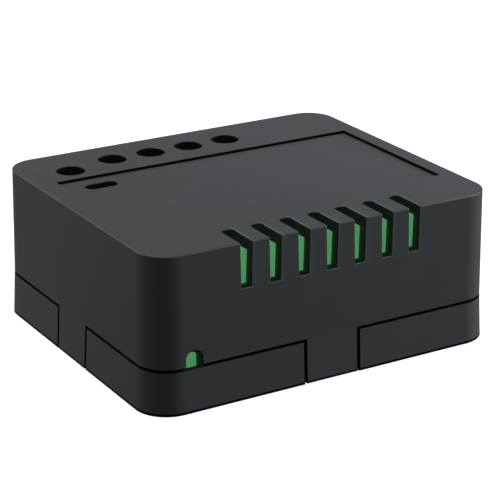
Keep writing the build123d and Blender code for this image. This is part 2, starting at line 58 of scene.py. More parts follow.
# ------------------------------------------------------------------ node helpers
class Mat:
    """A Principled material with object coordinates in millimetres."""

    def __init__(self, name):
        self.m = bpy.data.materials.new(name)
        self.m.use_nodes = True
        self.t = self.m.node_tree
        self.t.nodes.clear()
        self.out = self.t.nodes.new("ShaderNodeOutputMaterial")
        self.b = self.t.nodes.new("ShaderNodeBsdfPrincipled")
        self.t.links.new(self.b.outputs[0], self.out.inputs[0])
        self.tc = self.t.nodes.new("ShaderNodeTexCoord")
        self.p = self.v("SCALE", self.tc.outputs["Object"], scale=1000.0)
        sep = self.t.nodes.new("ShaderNodeSeparateXYZ")
        self.t.links.new(self.p, sep.inputs[0])
        self.x, self.y, self.z = sep.outputs
        geo = self.t.nodes.new("ShaderNodeSeparateXYZ")
        self.t.links.new(self.tc.outputs["Normal"], geo.inputs[0])
        self.nx, self.ny, self.nz = geo.outputs

    def put(self, socket, value):
        if isinstance(value, bpy.types.NodeSocket):
            self.t.links.new(value, socket)
        elif value is not None:
            if hasattr(socket.default_value, "__len__") and not hasattr(value, "__len__"):
                value = (value,) * 3
            if hasattr(value, "__len__") and len(value) == 3 and len(socket.default_value) == 4:
                value = (*value, 1.0)
            socket.default_value = value

    def f(self, op, a, b=None, c=None, clamp=False):
        n = self.t.nodes.new("ShaderNodeMath")
        n.operation = op
        n.use_clamp = clamp
        for i, x in enumerate((a, b, c)):
            if x is not None:
                self.put(n.inputs[i], x)
        return n.outputs[0]

    def v(self, op, a, b=None, scale=None):
        n = self.t.nodes.new("ShaderNodeVectorMath")
        n.operation = op
        self.put(n.inputs[0], a)
        if b is not None:
            self.put(n.inputs[1], b)
        if scale is not None:
            self.put(n.inputs["Scale"], scale)
        return n.outputs["Value"] if op in ("LENGTH", "DOT_PRODUCT", "DISTANCE") else n.outputs[0]

    def xyz(self, x, y, z):
        n = self.t.nodes.new("ShaderNodeCombineXYZ")
        for i, a in enumerate((x, y, z)):
            self.put(n.inputs[i], a)
        return n.outputs[0]

    def step(self, x, lo, hi, a=0.0, b=1.0):
        n = self.t.nodes.new("ShaderNodeMapRange")
        n.interpolation_type = "SMOOTHSTEP"
        n.clamp = True
        self.put(n.inputs["Value"], x)
        self.put(n.inputs["From Min"], lo)
        self.put(n.inputs["From Max"], hi)
        self.put(n.inputs["To Min"], a)
        self.put(n.inputs["To Max"], b)
        return n.outputs["Result"]

    def lin(self, x, lo, hi, a=0.0, b=1.0):
        n = self.t.nodes.new("ShaderNodeMapRange")
        n.clamp = True
        self.put(n.inputs["Value"], x)
        self.put(n.inputs["From Min"], lo)
        self.put(n.inputs["From Max"], hi)
        self.put(n.inputs["To Min"], a)
        self.put(n.inputs["To Max"], b)
        return n.outputs["Result"]

    def band(self, x, lo, hi, soft=0.02):
        return self.f("MULTIPLY", self.step(x, lo - soft, lo + soft), self.step(x, hi - soft, hi + soft, 1.0, 0.0))

    def all_of(self, *terms):
        out = terms[0]
        for t in terms[1:]:
            out = self.f("MULTIPLY", out, t)
        return out

    def any_of(self, *terms):
        out = terms[0]
        for t in terms[1:]:
            out = self.f("MAXIMUM", out, t)
        return out

    def no(self, a):
        return self.f("SUBTRACT", 1.0, a)

    def noise(self, scale, detail=2.0, rough=0.5, vec=None, stretch=None, distort=0.0):
        n = self.t.nodes.new("ShaderNodeTexNoise")
        vec = self.p if vec is None else vec
        if stretch is not None:
            vec = self.v("MULTIPLY", vec, stretch)
        self.put(n.inputs["Vector"], vec)
        n.inputs["Scale"].default_value = scale
        n.inputs["Detail"].default_value = detail
        n.inputs["Roughness"].default_value = rough
        n.inputs["Distortion"].default_value = distort
        return n.outputs["Fac"]

    def cells(self, scale, vec=None, feature="F1", random_=1.0, stretch=None):
        n = self.t.nodes.new("ShaderNodeTexVoronoi")
        n.feature = feature
        vec = self.p if vec is None else vec
        if stretch is not None:
            vec = self.v("MULTIPLY", vec, stretch)
        self.put(n.inputs["Vector"], vec)
        n.inputs["Scale"].default_value = scale
        n.inputs["Randomness"].default_value = random_
        return n.outputs["Distance"]

    def wave(self, scale, axis="X", distort=0.0, vec=None, kind="BANDS"):
        n = self.t.nodes.new("ShaderNodeTexWave")
        n.wave_type = kind
        if kind == "BANDS":
            n.bands_direction = axis
        self.put(n.inputs["Vector"], self.p if vec is None else vec)
        n.inputs["Scale"].default_value = scale
        n.inputs["Distortion"].default_value = distort
        return n.outputs["Fac"]

    def mix(self, fac, a, b, mode="MIX"):
        n = self.t.nodes.new("ShaderNodeMix")
        n.data_type = "RGBA"
        n.blend_type = mode
        n.clamp_factor = True
        self.put(n.inputs[0], fac)
        self.put(n.inputs[6], a)
        self.put(n.inputs[7], b)
        return n.outputs[2]

    def fmix(self, fac, a, b):
        n = self.t.nodes.new("ShaderNodeMix")
        n.data_type = "FLOAT"
        n.clamp_factor = True
        self.put(n.inputs[0], fac)
        self.put(n.inputs[2], a)
        self.put(n.inputs[3], b)
        return n.outputs[0]

    def shade(self, colour, amount):
        """colour times a number."""
        n = self.t.nodes.new("ShaderNodeMix")
        n.data_type = "RGBA"
        n.blend_type = "MULTIPLY"
        self.put(n.inputs[0], 1.0)
        self.put(n.inputs[6], colour)
        self.put(n.inputs[7], self.xyz(amount, amount, amount))
        return n.outputs[2]

    def bump(self, height, depth_mm, normal=None, strength=1.0):
        n = self.t.nodes.new("ShaderNodeBump")
        n.inputs["Strength"].default_value = strength
        n.inputs["Distance"].default_value = depth_mm * MM
        self.put(n.inputs["Height"], height)
        if normal is not None:
            self.put(n.inputs["Normal"], normal)
        return n.outputs[0]

    def edges(self, radius_mm, lo=0.02, hi=0.25):
        """1 on corners and edges, 0 on flats."""
        bev = self.t.nodes.new("ShaderNodeBevel")
        bev.samples = 6
        bev.inputs["Radius"].default_value = radius_mm * MM
        g = self.t.nodes.new("ShaderNodeNewGeometry")
        dot = self.v("DOT_PRODUCT", bev.outputs[0], g.outputs["Normal"])
        return self.step(self.f("SUBTRACT", 1.0, dot), lo, hi)

    def soft(self, radius_mm, samples=6):
        bev = self.t.nodes.new("ShaderNodeBevel")
        bev.samples = samples
        bev.inputs["Radius"].default_value = radius_mm * MM
        return bev.outputs[0]

    def set(self, **k):
        names = {
            "colour": "Base Color", "rough": "Roughness", "metal": "Metallic", "normal": "Normal",
            "spec": "Specular IOR Level", "ior": "IOR", "coat": "Coat Weight", "coat_rough": "Coat Roughness",
            "sheen": "Sheen Weight", "aniso": "Anisotropic", "sss": "Subsurface Weight", "glow": "Emission Color",
            "glow_strength": "Emission Strength", "trans": "Transmission Weight",
        }
        for key, value in k.items():
            self.put(self.b.inputs[names[key]], value)
        return self.m


def srgb(r, g, b):
    out = []
    for c in (r, g, b):
        c /= 255.0
        out.append(c / 12.92 if c <= 0.04045 else ((c + 0.055) / 1.055) ** 2.4)
    return tuple(out)


# ------------------------------------------------------------------ the case plastic
CASE = (0.0368, 0.0402, 0.0468)
# near black painted into gaps, walls and corners as shade
SHADE_BLACK = (0.0012, 0.0013, 0.0014)


def case_plastic():
    m = Mat("case_plastic")
    # distance under the outer skin: a rounded rectangle that narrows with height
    # and whose walls lean out a little more in the tray
    shrink = m.f("SUBTRACT", m.f("MULTIPLY", m.z, TAN_DRAFT), m.lin(m.z, 0.0, SEAM_HI, FOOT_FLARE, 0.0))
    qx = m.f("SUBTRACT", m.f("ABSOLUTE", m.x), W / 2 - CORNER_R)
    qy = m.f("SUBTRACT", m.f("ABSOLUTE", m.y), D / 2 - CORNER_R)
    outer = m.v("LENGTH", m.xyz(m.f("MAXIMUM", qx, 0.0), m.f("MAXIMUM", qy, 0.0), 0.0))
    inner = m.f("MINIMUM", m.f("MAXIMUM", qx, qy), 0.0)
    side = m.f("SUBTRACT", m.f("SUBTRACT", CORNER_R, shrink), m.f("ADD", outer, inner))
    # the recessed field: signed distance from its rectangle, positive outside
    cx, cy = (FIELD[0] + FIELD[1]) / 2, (FIELD[2] + FIELD[3]) / 2
    fx = m.f("SUBTRACT", m.f("ABSOLUTE", m.f("SUBTRACT", m.x, cx)), (FIELD[1] - FIELD[0]) / 2)
    fy = m.f("SUBTRACT", m.f("ABSOLUTE", m.f("SUBTRACT", m.y, cy)), (FIELD[3] - FIELD[2]) / 2)
    field = m.f("MAXIMUM", fx, fy)
    in_field = m.step(field, -0.012, -0.004, 1.0, 0.0)
    top = m.f("SUBTRACT", m.f("SUBTRACT", H, m.z), m.f("MULTIPLY", in_field, H - FIELD_Z))
    depth = m.f("MINIMUM", side, top)
    # painted shade: walls of slots, holes and seams are painted near black, but not the inner faces of the shells or
    # the underside
    low = m.step(m.z, 5.4, 5.5, 1.0, 0.0)
    begins = m.any_of(m.step(depth, 0.045, 0.10), m.f("MULTIPLY", low, m.step(depth, 0.008, 0.020)))
    in_wall = m.any_of(m.step(m.z, H - 1.345, H - 1.330), m.step(m.f("ABSOLUTE", m.y), CAV_Y + 0.005, CAV_Y + 0.020), m.step(m.f("ABSOLUTE", m.x), CAV_X + 0.005, CAV_X + 0.020))
    cavity_shade = m.all_of(begins, in_wall, m.step(m.z, 0.005, 0.02))
    # steps round the field, painted near black as shade
    wall = m.all_of(
        m.step(m.f("ABSOLUTE", field), 0.01, 0.03, 1.0, 0.0),
        m.step(m.z, FIELD_Z - 0.05, FIELD_Z - 0.03),
        m.step(m.f("ABSOLUTE", m.nz), 0.55, 0.80, 1.0, 0.0),
    )
    # painted shade along the rim it stands on
    foot_shade = m.all_of(m.step(m.z, 0.27, 0.36, 1.0, 0.0), m.step(m.nz, -0.92, -0.85))
    # painted shade along the seam and beside the tabs, a hair wider than the gap itself
    tab_f = m.f("ABSOLUTE", m.f("SUBTRACT", m.x, TAB_FRONT_X))
    tab_b = m.f("ABSOLUTE", m.f("SUBTRACT", m.x, TAB_BACK_X))
    tab_s = m.f("ABSOLUTE", m.f("SUBTRACT", m.y, TAB_SIDE_Y))
    on_x = m.step(m.f("ABSOLUTE", m.nx), 0.6, 0.7)
    on_f = m.f("MULTIPLY", m.step(m.ny, -0.7, -0.6, 1.0, 0.0), m.no(on_x))
    on_b = m.f("MULTIPLY", m.step(m.ny, 0.6, 0.7), m.no(on_x))
    off_tab = m.no(m.any_of(
        m.f("MULTIPLY", on_x, m.step(tab_s, 3.30, 3.34, 1.0, 0.0)),
        m.f("MULTIPLY", on_f, m.step(tab_f, 3.30, 3.34, 1.0, 0.0)),
        m.f("MULTIPLY", on_b, m.step(tab_b, 3.30, 3.34, 1.0, 0.0)),
    ))
    along = m.f("MULTIPLY", m.band(m.z, SEAM_LO - 0.02, SEAM_HI + 0.02, 0.015), off_tab)
    beside = m.any_of(
        m.f("MULTIPLY", on_x, m.band(tab_s, 3.17, 3.60, 0.015)),
        m.f("MULTIPLY", on_f, m.band(tab_f, 3.17, 3.60, 0.015)),
        m.f("MULTIPLY", on_b, m.band(tab_b, 3.17, 3.60, 0.015)),
    )
    beside = m.f("MULTIPLY", beside, m.step(m.z, SEAM_HI, SEAM_HI + 0.02, 1.0, 0.0))
    seam_shade = m.f("MULTIPLY", m.any_of(along, beside), m.step(depth, 0.05, 0.10, 1.0, 0.0))
    # painted shade in the corner of the recess
    corner_shade = m.all_of(m.step(m.f("ABSOLUTE", field), 0.17, 0.29, 1.0, 0.0), in_field, m.step(m.z, FIELD_Z - 0.05, FIELD_Z - 0.03))
    painted_shade = m.any_of(cavity_shade, wall, foot_shade, seam_shade, m.f("MULTIPLY", corner_shade, 0.92))
    # contact shade on the field beside its high walls
    shade_in = m.all_of(m.step(m.f("ABSOLUTE", field), 0.0, 0.48, 1.0, 0.0), in_field, m.step(m.z, FIELD_Z - 0.05, FIELD_Z - 0.03))
    # green light that the board throws on the walls of the vents and the notch
    near_vents = m.all_of(m.step(m.z, 12.2, 12.4), m.step(m.y, -13.4, -13.2, 1.0, 0.0), m.step(m.f("ABSOLUTE", m.f("SUBTRACT", m.x, 0.11)), 11.5, 11.8, 1.0, 0.0))
    near_notch = m.all_of(m.step(m.f("ABSOLUTE", m.f("ADD", m.x, 16.69)), 1.15, 1.25, 1.0, 0.0), m.step(m.y, -16.2, -16.0, 1.0, 0.0), m.band(m.z, 4.6, 7.2))
    slot_wall = m.f("MULTIPLY", m.any_of(near_vents, near_notch), cavity_shade)
    spill = m.f("MULTIPLY", slot_wall, m.all_of(m.step(m.y, -17.65, -CAV_Y - 0.05), m.step(m.y, -16.4, -15.4, 1.0, 0.0), m.step(m.z, 15.9, 16.5, 1.0, 0.0)))

    large = m.noise(0.045, 3.0, 0.55)
    patch = m.noise(0.35, 4.0, 0.6)
    grain = m.noise(7.5, 3.0, 0.65)
    pits = m.cells(4.6)
    colour = m.mix(m.lin(large, 0.3, 0.7), (CASE[0] * 0.97, CASE[1] * 0.97, CASE[2] * 0.965), (CASE[0] * 1.03, CASE[1] * 1.03, CASE[2] * 1.04))
    colour = m.shade(colour, m.lin(grain, 0.25, 0.75, 0.95, 1.05))
    off_field = m.no(m.all_of(m.step(m.f("ABSOLUTE", field), 0.25, 0.35, 1.0, 0.0), m.step(m.z, 16.9, 17.0)))
    # painted green light from the board on the lands between the vents
    land_glow = m.all_of(near_vents, m.step(depth, 0.10, 0.14, 1.0, 0.0))
    turn = m.f("SUBTRACT", m.f("FLOORED_MODULO", m.f("ADD", m.x, 3.51 * 5 + 1.755 - 0.11), 3.51), 1.755)
    fringe_glow = m.all_of(land_glow, m.step(turn, 0.66, 1.45, 1.0, 0.0), m.step(turn, 0.2, 0.5))
    # painted light: the left face is a little paler towards the back
    on_left = m.step(m.nx, -0.98, -0.90, 1.0, 0.0)
    colour = m.shade(colour, m.f("ADD", 1.0, m.f("MULTIPLY", on_left, m.lin(m.y, -14.0, 14.0, 0.0, 0.42))))
    colour = m.mix(m.f("MULTIPLY", land_glow, 0.5), colour, (CASE[0] * 0.96, CASE[1] * 1.12, CASE[2] * 0.97))
    colour = m.mix(m.f("MULTIPLY", fringe_glow, 0.8), colour, (CASE[0] * 1.13, CASE[1] * 1.50, CASE[2] * 1.18))
    # painted light: the top is lit brighter towards the right and the back
    across = m.f("ADD", m.f("MULTIPLY", m.x, 0.857), m.f("MULTIPLY", m.y, -0.516))
    on_top = m.f("MULTIPLY", m.step(m.nz, 0.90, 0.98), m.step(m.z, 16.9, 17.0))
    colour = m.shade(colour, m.f("ADD", 1.0, m.f("MULTIPLY", on_top, m.lin(across, -14.0, 24.0, -0.09, 0.32))))
    along = m.f("ADD", m.x, m.f("MULTIPLY", m.y, 0.5))
    colour = m.shade(colour, m.f("ADD", 1.0, m.f("MULTIPLY", on_top, m.lin(along, -22.0, 16.0, -0.12, 0.18))))
    # painted shade on the top rim along the left
    left_rim_shade = m.all_of(m.band(m.nz, 0.30, 0.95, 0.05), m.step(m.nx, -0.45, -0.25, 1.0, 0.0), m.step(m.z, 16.9, 17.1))
    colour = m.shade(colour, m.f("SUBTRACT", 1.0, m.f("MULTIPLY", left_rim_shade, 0.28)))
    # painted shade: the top rim along the back and the right is darkened
    rim = m.all_of(m.band(m.nz, 0.10, 0.985, 0.03), m.step(m.z, 17.0, 17.1), m.any_of(m.step(m.ny, 0.10, 0.25), m.step(m.nx, 0.10, 0.25)), m.step(depth, 0.10, 0.14, 1.0, 0.0), m.no(near_vents))
    # edge wear and painted highlight: paler edges, lighter in patches
    wear_and_highlight = m.all_of(m.edges(0.18, 0.02, 0.24), m.no(painted_shade), m.no(rim), off_field, m.step(m.z, 5.3, 5.8, 0.12, 1.0))
    rub_and_highlight = m.f("MULTIPLY", m.lin(patch, 0.3, 0.7, 0.24, 0.40), m.step(m.nx, -0.30, -0.10, 0.45, 1.0))
    colour = m.mix(m.f("MULTIPLY", wear_and_highlight, rub_and_highlight), colour, (0.105, 0.108, 0.114))
    # painted highlight along the top front rim, stronger towards the right
    front_rim_highlight = m.all_of(m.band(m.nz, 0.15, 0.96, 0.04), m.step(m.ny, -0.30, -0.15, 1.0, 0.0), m.step(m.z, 17.2, 17.3), m.no(painted_shade))
    colour = m.mix(m.f("MULTIPLY", front_rim_highlight, m.lin(m.x, 9.0, 17.0, 0.12, 0.85)), colour, (0.100, 0.104, 0.111))
    # the rounded rims of the vents: paler where they face the light, dull where they turn away
    lit_rim = m.all_of(near_vents, m.band(m.nx, -0.95, -0.12, 0.05), m.no(painted_shade))
    lit_tone = m.mix(m.step(m.nz, 0.25, 0.55), (0.165, 0.195, 0.182), (0.100, 0.112, 0.109))
    dull_rim = m.all_of(near_vents, m.band(m.nx, 0.12, 0.95, 0.05), m.no(painted_shade))
    sill = m.all_of(near_vents, m.band(m.nz, 0.15, 0.95, 0.05), m.step(m.z, 12.9, 13.1, 1.0, 0.0), m.no(painted_shade))
    colour = m.mix(m.f("MULTIPLY", lit_rim, 0.9), colour, lit_tone)
    colour = m.mix(m.f("MULTIPLY", sill, 0.7), colour, (0.070, 0.082, 0.077))
    colour = m.mix(m.f("MULTIPLY", dull_rim, 0.8), colour, (0.026, 0.033, 0.030))
    colour = m.shade(colour, m.f("SUBTRACT", 1.0, m.f("MULTIPLY", rim, 0.80)))
    colour = m.shade(colour, m.f("SUBTRACT", 1.0, m.f("MULTIPLY", shade_in, 0.12)))
    # painted shade: every painted-shade mask is coloured near black
    colour = m.mix(painted_shade, colour, SHADE_BLACK)
    colour = m.mix(m.f("MULTIPLY", spill, 0.85), colour, (0.0022, 0.0130, 0.0040))
    # a trace of stray light keeps the deep gaps from pure black; in the vents it is green
    stray = m.mix(slot_wall, (0.0020, 0.0020, 0.0026), (0.0042, 0.0074, 0.0052))
    stray = m.mix(spill, stray, m.mix(near_notch, (0.0052, 0.0150, 0.0070), (0.0046, 0.0280, 0.0075)))
    rough = m.f("ADD", m.lin(patch, 0.3, 0.7, 0.50, 0.56), m.lin(grain, 0.3, 0.7, -0.03, 0.03))
    rough = m.fmix(wear_and_highlight, rough, 0.42)
    rough = m.fmix(painted_shade, rough, 0.95)
    n1 = m.bump(m.f("ADD", grain, m.f("MULTIPLY", pits, 0.5)), 0.006, m.soft(0.05))
    # the blackest gaps give nothing back, not even a sheen
    swallow = m.f("MULTIPLY", m.f("MULTIPLY", painted_shade, m.no(spill)), 0.9)
    m.set(glow=m.mix(m.f("MULTIPLY", painted_shade, m.any_of(slot_wall, m.f("MULTIPLY", m.step(m.z, 15.0, 15.5), m.step(m.f("ABSOLUTE", field), 0.30, 0.36)))), (0.0, 0.0, 0.0), stray), glow_strength=1.0)
    return m.set(colour=colour, rough=rough, metal=swallow, normal=n1, spec=0.42)


# ------------------------------------------------------------------ other materials
def moulded(name, colour, rough=0.5, grain=6.0, depth=0.005, vary=0.12, edge=1.6, spec=0.5, coat=None):
    m = Mat(name)
    big = m.noise(0.25, 3.0, 0.55)
    fine = m.noise(grain, 3.0, 0.65)
    c = m.mix(m.lin(big, 0.3, 0.7), tuple(x * (1 - vary) for x in colour), tuple(min(1, x * (1 + vary)) for x in colour))
    c = m.shade(c, m.lin(fine, 0.25, 0.75, 0.94, 1.06))
    e = m.edges(0.12, 0.03, 0.35)
    c = m.mix(m.f("MULTIPLY", e, 0.35), c, tuple(min(1, x * edge + 0.01) for x in colour))
    r = m.f("ADD", m.lin(big, 0.3, 0.7, rough - 0.05, rough + 0.05), m.lin(fine, 0.3, 0.7, -0.03, 0.03))
    m.set(colour=c, rough=r, normal=m.bump(fine, depth, m.soft(0.05)), spec=spec)
    if coat:
        m.set(coat=coat, coat_rough=0.15)
    return m.m


def metal(name, colour, rough=0.3, lines="X", grain=3.0, depth=0.002, tarnish=(0.6, 0.6, 0.6), radial=None, spread=0.10):
    """Rolled, plated or turned metal: fine lines, stains and brighter edges."""
    m = Mat(name)
    stretch = {"X": (0.06, 1.0, 1.0), "Y": (1.0, 0.06, 1.0), "Z": (1.0, 1.0, 0.06)}[lines]
    if radial is not None:
        dx, dy = m.f("SUBTRACT", m.x, radial[0]), m.f("SUBTRACT", m.y, radial[1])
        rr = m.v("LENGTH", m.xyz(dx, dy, 0.0))
        vec = m.xyz(rr, m.f("MULTIPLY", m.z, 1.0), m.f("MULTIPLY", m.f("ARCTAN2", dy, dx), 0.12))
        streak = m.noise(9.0, 4.0, 0.6, vec=vec)
    else:
        streak = m.noise(grain * 7.0, 2.0, 0.5, stretch=stretch)
        depth, spread = depth * 0.30, spread * 0.55
    stain = m.noise(0.5, 4.0, 0.6)
    fine = m.noise(8.0, 2.0, 0.5)
    c = m.mix(m.lin(stain, 0.45, 0.75), colour, tuple(a * b for a, b in zip(colour, tarnish)))
    c = m.shade(c, m.lin(streak, 0.3, 0.7, *((0.88, 1.06) if radial is not None else (0.95, 1.03))))
    e = m.edges(0.08, 0.03, 0.35)
    c = m.mix(m.f("MULTIPLY", e, 0.45), c, tuple(min(1.0, x * 1.18 + 0.03) for x in colour))
    r = m.f("ADD", m.lin(streak, 0.25, 0.75, rough - spread, rough + spread), m.lin(stain, 0.4, 0.8, 0.0, 0.12))
    return m.set(colour=c, rough=r, metal=1.0, normal=m.bump(m.f("ADD", streak, m.f("MULTIPLY", fine, 0.3)), depth, m.soft(0.04)), aniso=0.25)


def board(name, plane):
    """Green solder mask over glass fibre. plane is the axis across the board."""
    m = Mat(name)
    if plane == "Z":
        u, w, across = m.x, m.y, m.nz
    else:
        u, w, across = m.x, m.z, m.ny
    face = m.step(m.f("ABSOLUTE", across), 0.5, 0.8)
    flat = m.xyz(u, w, 0.0)
    weave_u = m.wave(1.15, "X", 0.6, vec=flat)
    weave_v = m.wave(1.15, "Y", 0.6, vec=flat)
    weave = m.f("MULTIPLY", weave_u, weave_v)
    mottle = m.noise(0.5, 3.0, 0.55)
    speck = m.noise(9.0, 2.0, 0.6)
    # copper pour under the mask: broad lighter and darker areas with crisp borders
    pour = m.step(m.cells(0.16, vec=flat, feature="F1", random_=0.85), 0.44, 0.47)
    calm = 1.0 if plane == "Z" else 0.35
    green = m.mix(m.lin(mottle, 0.3, 0.7), GREEN_A, GREEN_B)
    green = m.mix(m.f("MULTIPLY", pour, 0.16 * calm), green, tuple(x * 1.25 for x in GREEN_B))
    green = m.shade(green, m.lin(weave, 0.0, 1.0, 1 - 0.03 * calm, 1 + 0.03 * calm))
    green = m.shade(green, m.lin(speck, 0.2, 0.8, 0.97, 1.03))
    core = m.mix(m.wave(3.5, "Z" if plane == "Z" else "Y", 0.8), srgb(150, 140, 84), srgb(186, 176, 116))
    core = m.shade(core, m.lin(speck, 0.2, 0.8, 0.8, 1.1))
    if plane == "Y":
        # the mask runs over the cut edge of the upright board and tints it
        core = m.mix(0.90, core, green)
        # painted glow colour for the faces and the cut edge; the edge's own colour is then darkened as painted shade so
        # its lit top reads like the face
        lit = m.mix(face, m.shade(core, 0.93), green)
        core = m.shade(core, 0.22)
    colour = m.mix(face, core, green)
    rough = m.fmix(face, 0.75, m.lin(mottle, 0.3, 0.7, 0.34, 0.44))
    height = m.f("ADD", m.f("MULTIPLY", weave, 0.35), m.f("ADD", m.f("MULTIPLY", pour, 0.8), m.f("MULTIPLY", speck, 0.12)))
    m.set(colour=colour, rough=rough, normal=m.bump(height, 0.010, m.soft(0.04)), spec=0.4)
    if BOARD_PAINTED_GLOW > 0 and plane == "Y":
        m.set(glow=lit, glow_strength=BOARD_PAINTED_GLOW)
    return m.m


GREEN_A = (0.088, 0.378, 0.136)
GREEN_B = (0.093, 0.398, 0.144)
BOARD_PAINTED_GLOW = 0.64   # painted glow: emission that stands in for light falling on the upright board


def chip(name, x0, x1, y0, y1, body=(0.012, 0.012, 0.013), dot=None, tin=(0.70, 0.69, 0.66)):
    """A moulded body between the given sides; whatever is outside is a tinned lead."""
    m = Mat(name)
    inside = m.all_of(m.band(m.x, x0, x1, 0.012), m.band(m.y, y0, y1, 0.012))
    speck = m.noise(7.0, 3.0, 0.7)
    stain = m.noise(0.7, 3.0, 0.6)
    c = m.mix(m.lin(stain, 0.3, 0.7), tuple(a * 0.85 for a in body), tuple(min(1, a * 1.25) for a in body))
    c = m.shade(c, m.lin(speck, 0.2, 0.8, 0.8, 1.2))
    if dot is not None:
        d = m.v("LENGTH", m.xyz(m.f("SUBTRACT", m.x, dot[0]), m.f("SUBTRACT", m.y, dot[1]), 0.0))
        c = m.mix(m.f("MULTIPLY", m.step(d, dot[2] - 0.03, dot[2], 1.0, 0.0), 0.5), c, tuple(min(1.0, a * 2.2 + 0.02) for a in body))
    t = m.shade(tin, m.lin(m.noise(5.0, 3.0, 0.6), 0.3, 0.7, 0.82, 1.08))
    e = m.edges(0.07, 0.03, 0.35)
    c = m.mix(m.f("MULTIPLY", e, 0.3), c, tuple(min(1, a * 2 + 0.02) for a in body))
    return m.set(
        colour=m.mix(inside, t, c),
        rough=m.fmix(inside, m.lin(stain, 0.3, 0.7, 0.28, 0.42), m.lin(speck, 0.3, 0.7, 0.52, 0.66)),
        metal=m.no(inside),
        normal=m.bump(speck, 0.006, m.soft(0.04)),
    )


def capacitor_sleeve():
    m = Mat("capacitor_sleeve")
    dx, dy = m.f("SUBTRACT", m.x, 12.6), m.f("SUBTRACT", m.y, 11.4)
    r = m.v("LENGTH", m.xyz(dx, dy, 0.0))
    up = m.step(m.z, 14.60, 14.66)
    bare = m.f("MULTIPLY", up, m.step(r, 2.62, 2.66, 1.0, 0.0))
    ang = m.f("ARCTAN2", dy, dx)
    stripe = m.all_of(m.band(ang, 0.9, 1.5, 0.01), m.step(m.z, 14.5, 14.52, 1.0, 0.0), m.no(bare))
    film = m.noise(1.4, 3.0, 0.6, stretch=(1.0, 1.0, 0.25))
    fine = m.noise(7.0, 2.0, 0.6)
    c = m.mix(m.lin(film, 0.3, 0.7), (0.012, 0.016, 0.040), (0.018, 0.024, 0.056))
    c = m.mix(stripe, c, (0.42, 0.44, 0.50))
    turned = m.noise(10.0, 3.0, 0.6, vec=m.xyz(r, m.f("MULTIPLY", ang, 0.05), 0.0))
    alu = m.shade((0.80, 0.80, 0.80), m.lin(turned, 0.3, 0.7, 0.8, 1.05))
    groove = m.f("MULTIPLY", bare, m.step(m.z, 14.90, 14.99, 1.0, 0.0))
    alu = m.mix(m.f("MULTIPLY", groove, 0.7), alu, (0.25, 0.25, 0.25))
    return m.set(
        colour=m.mix(bare, c, alu), metal=bare,
        rough=m.fmix(bare, m.lin(film, 0.3, 0.7, 0.22, 0.34), m.lin(turned, 0.3, 0.7, 0.25, 0.42)),
        normal=m.bump(m.f("ADD", film, m.f("MULTIPLY", fine, 0.15)), 0.02, m.soft(0.05)),
    )


def ferrite():
    m = Mat("ferrite")
    a = m.noise(2.6, 5.0, 0.7)
    b = m.cells(6.0)
    c = m.mix(m.lin(a, 0.3, 0.7), (0.030, 0.030, 0.033), (0.062, 0.061, 0.063))
    e = m.edges(0.15, 0.03, 0.4)
    c = m.mix(m.f("MULTIPLY", e, m.lin(a, 0.4, 0.6, 0.0, 0.5)), c, (0.16, 0.155, 0.15))
    return m.set(colour=c, rough=m.lin(a, 0.3, 0.7, 0.48, 0.70), normal=m.bump(m.f("ADD", a, m.f("MULTIPLY", b, 0.6)), 0.02, m.soft(0.06)))


def copper_wire():
    m = Mat("copper_wire")
    a = m.noise(1.2, 4.0, 0.6)
    b = m.noise(9.0, 2.0, 0.5, stretch=(1.0, 1.0, 0.3))
    c = m.mix(m.lin(a, 0.3, 0.7), (0.42, 0.130, 0.045), (0.60, 0.230, 0.085))
    c = m.shade(c, m.lin(b, 0.3, 0.7, 0.85, 1.1))
    return m.set(colour=c, metal=0.85, rough=m.lin(b, 0.3, 0.7, 0.22, 0.36), coat=0.6, coat_rough=0.12, normal=m.bump(b, 0.004))


def fuse_coat():
    m = Mat("fuse_coat")
    a = m.noise(0.9, 4.0, 0.6)
    b = m.noise(5.0, 3.0, 0.6)
    c = m.mix(m.lin(a, 0.3, 0.7), (0.62, 0.30, 0.022), (0.80, 0.43, 0.040))
    c = m.shade(c, m.lin(b, 0.2, 0.8, 0.9, 1.06))
    return m.set(colour=c, rough=m.lin(a, 0.3, 0.7, 0.24, 0.38), coat=0.4, coat_rough=0.1, sss=0.05, normal=m.bump(m.f("ADD", a, m.f("MULTIPLY", b, 0.2)), 0.06, m.soft(0.15)))


def led():
    m = Mat("led_lens")
    lens = m.step(m.z, 4.33, 4.36)
    a = m.noise(6.0, 2.0, 0.6)
    ends = m.any_of(m.step(m.x, -18.72, -18.70, 1.0, 0.0), m.step(m.x, -17.50, -17.48))
    c = m.mix(lens, m.shade((0.70, 0.70, 0.66), m.lin(a, 0.3, 0.7, 0.93, 1.05)), m.shade((0.80, 0.78, 0.60), m.lin(a, 0.3, 0.7, 0.95, 1.05)))
    c = m.mix(m.all_of(ends, m.no(lens)), c, (0.62, 0.60, 0.56))
    return m.set(colour=c, rough=m.fmix(lens, 0.5, m.lin(a, 0.3, 0.7, 0.12, 0.2)), normal=m.bump(a, 0.003, m.soft(0.04)), sss=0.1)


def solder():
    m = Mat("solder")
    a = m.noise(2.2, 4.0, 0.6)
    b = m.cells(5.0)
    c = m.mix(m.lin(a, 0.3, 0.7), (0.52, 0.52, 0.53), (0.74, 0.73, 0.71))
    return m.set(colour=c, metal=1.0, rough=m.f("ADD", m.lin(a, 0.3, 0.7, 0.18, 0.34), m.f("MULTIPLY", b, 0.08)), normal=m.bump(m.f("ADD", a, m.f("MULTIPLY", b, 0.3)), 0.015))


# ------------------------------------------------------------------ give every CAD node its material
LIB = {}


def use(node, mat):
    o = NODES[node]
    o.data.materials.clear()
    o.data.materials.append(mat)
    return o


